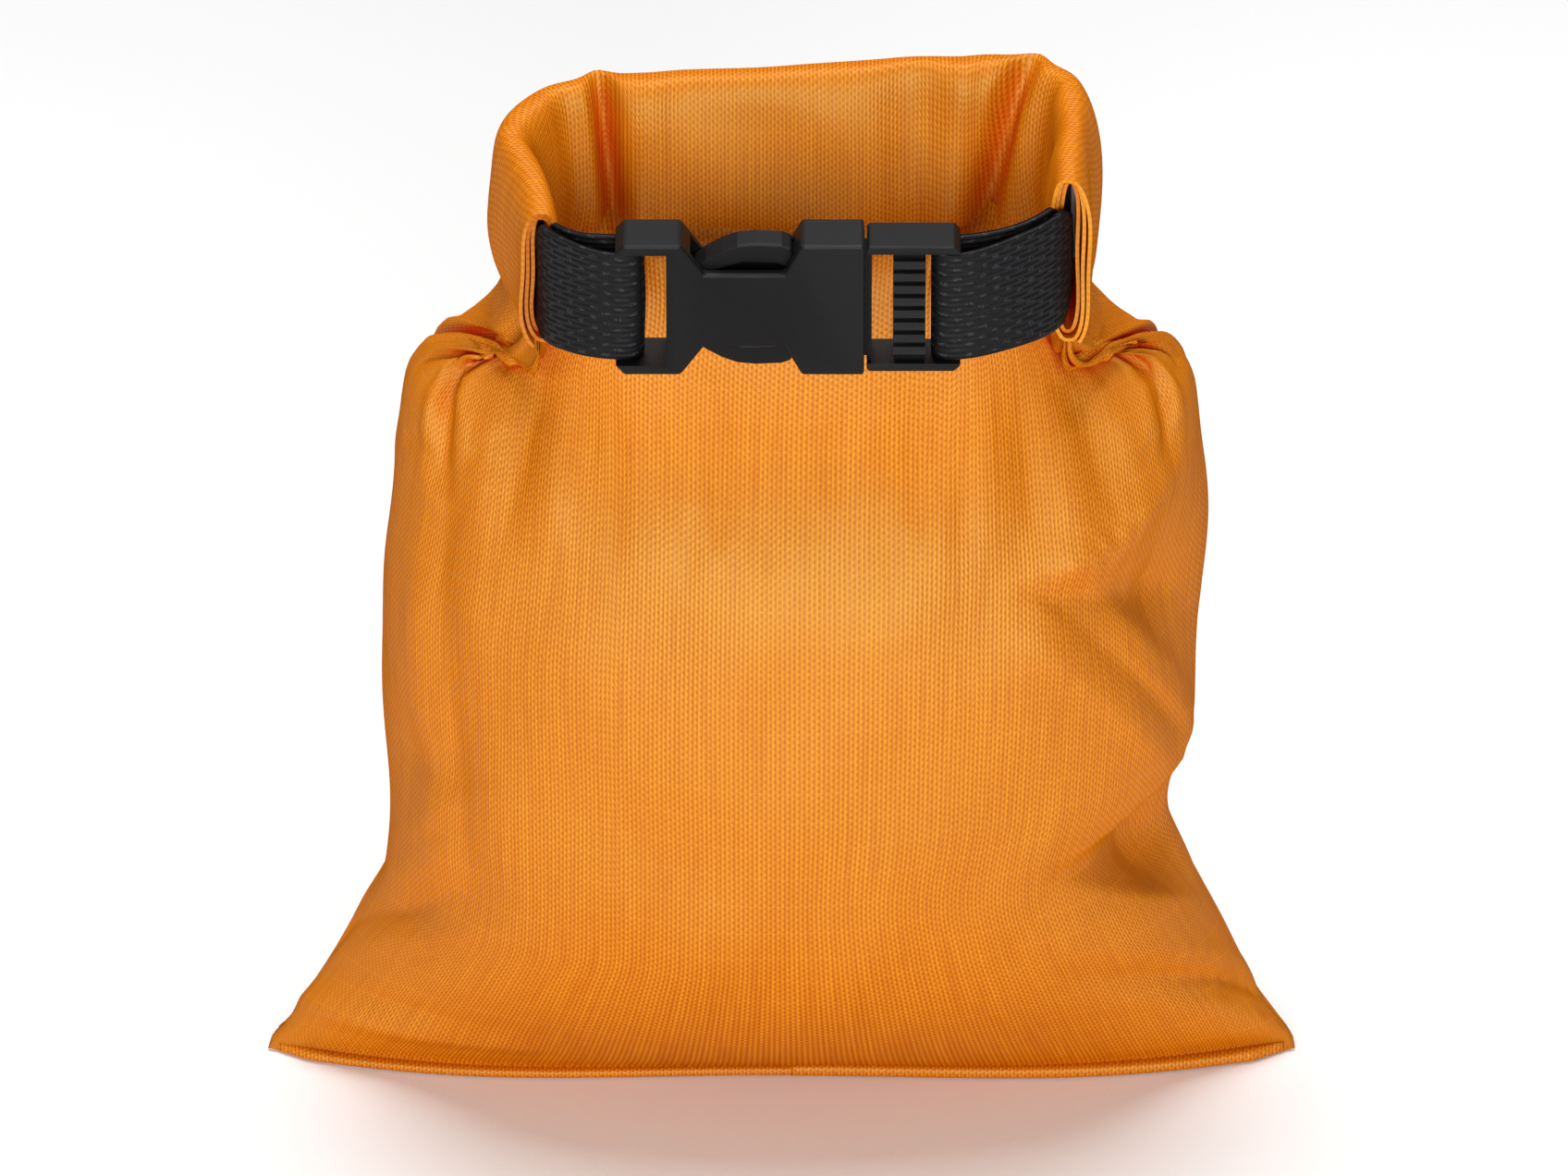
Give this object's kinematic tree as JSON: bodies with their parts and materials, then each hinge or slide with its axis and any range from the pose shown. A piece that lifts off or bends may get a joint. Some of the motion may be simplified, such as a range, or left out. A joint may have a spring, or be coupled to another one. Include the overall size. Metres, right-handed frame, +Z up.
{
  "type": "roll-top dry bag",
  "caption": "Small roll-top dry bag in coated fabric, its rolled mouth bent round and closed with a side-release buckle on webbing.",
  "frame": {"origin": "on the ground, under the middle of the bag's bounding box", "axes": "+Z up, +X to the right seen from the buckle's side, +Y to the back, away from the buckle"},
  "size_m": [0.169, 0.0784, 0.1753],
  "materials": {
    "orange_fabric": "satin",
    "seam_tape": "satin",
    "strip_plastic": "satin",
    "black_webbing": "matte",
    "black_plastic": "satin"
  },
  "bodies": {
    "bag": {"bag_body": "orange_fabric", "bottom_seam_hem": "orange_fabric", "back_seam_tape": "seam_tape", "bottom_seam_tape": "seam_tape", "collar_back": "orange_fabric", "stiffener_back": "strip_plastic"},
    "roll_left": {"collar_left": "orange_fabric", "stiffener_left": "strip_plastic", "webbing_tail_left": "black_webbing"},
    "roll_right": {"collar_right": "orange_fabric", "stiffener_right": "strip_plastic", "webbing_tail_right": "black_webbing"},
    "socket_half": {"buckle_socket": "black_plastic", "webbing_left": "black_webbing"},
    "plug_half": {"buckle_plug": "black_plastic", "webbing_right": "black_webbing"},
    "button_upper": {"prong_upper": "black_plastic"},
    "button_lower": {"prong_lower": "black_plastic"}
  },
  "joints": [
    {"name": "roll_open_right", "type": "hinge", "parent": "bag", "child": "roll_right", "pos_m": [0.0287, 0.0185, 0.1624], "axis": [0, 0, 1], "range_deg": [0, 25], "deforming": ["prong_upper", "prong_lower"]},
    {"name": "roll_open_left", "type": "hinge", "parent": "bag", "child": "roll_left", "pos_m": [-0.0243, 0.0185, 0.1624], "axis": [0, 0, 1], "range_deg": [-25, 0]},
    {"name": "plug_swing", "type": "hinge", "parent": "roll_right", "child": "plug_half", "pos_m": [0.046, -0.0268, 0.1509], "axis": [0, 0, 1], "range_deg": [-25, 0]},
    {"name": "socket_swing", "type": "hinge", "parent": "roll_left", "child": "socket_half", "pos_m": [-0.0416, -0.0268, 0.1509], "axis": [0, 0, 1], "range_deg": [0, 25]},
    {"name": "button_upper_press", "type": "hinge", "parent": "plug_half", "child": "button_upper", "pos_m": [0.009, -0.03236, 0.15674], "axis": [0, -0.9903, -0.1392], "range_deg": [0, 8], "stiffness_Nm_per_rad": 0.6},
    {"name": "button_lower_press", "type": "hinge", "parent": "plug_half", "child": "button_lower", "pos_m": [0.009, -0.03064, 0.14446], "axis": [0, 0.9903, 0.1392], "range_deg": [0, 8], "stiffness_Nm_per_rad": 0.6}
  ],
  "couplings": [
    {"joint": "roll_open_left", "follows": "roll_open_right", "ratio": -1},
    {"joint": "plug_swing", "follows": "roll_open_right", "ratio": -1},
    {"joint": "socket_swing", "follows": "roll_open_right", "ratio": 1}
  ]
}
